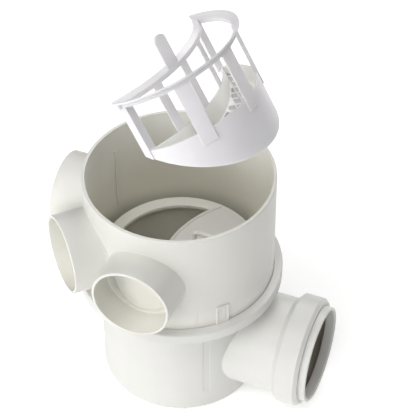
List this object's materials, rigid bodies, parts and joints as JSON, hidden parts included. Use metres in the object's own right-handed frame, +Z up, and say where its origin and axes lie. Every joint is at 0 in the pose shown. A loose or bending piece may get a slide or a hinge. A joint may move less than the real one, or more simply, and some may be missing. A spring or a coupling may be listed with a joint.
{
  "type": "gully trap",
  "caption": "Floor gully trap: a round bowl with a ring-seal outlet, a tall riser with blanked side inlets, an access plate, and a tilted basket lifted out above it.",
  "frame": {"origin": "centre of the bowl's underside, on the riser axis", "axes": "+Z up along the riser axis, +X along the outlet, out of its mouth"},
  "size_m": [0.3285, 0.2787, 0.5744],
  "materials": {
    "bowl_grey": "satin light grey moulded plastic",
    "riser_grey": "satin light grey moulded plastic",
    "insert_grey": "satin grey moulded plastic",
    "plate_grey": "satin grey moulded plastic",
    "basket_white": "satin near-white moulded plastic",
    "seal_rubber": "matt dark olive-grey rubber"
  },
  "bodies": {
    "root": {"trap_bowl": "bowl_grey", "baffle_insert": "insert_grey", "riser": "riser_grey", "access_plate": "plate_grey", "plate_seal": "seal_rubber", "basket": "basket_white", "riser_seal": "seal_rubber", "outlet_seal": "seal_rubber"}
  },
  "joints": []
}
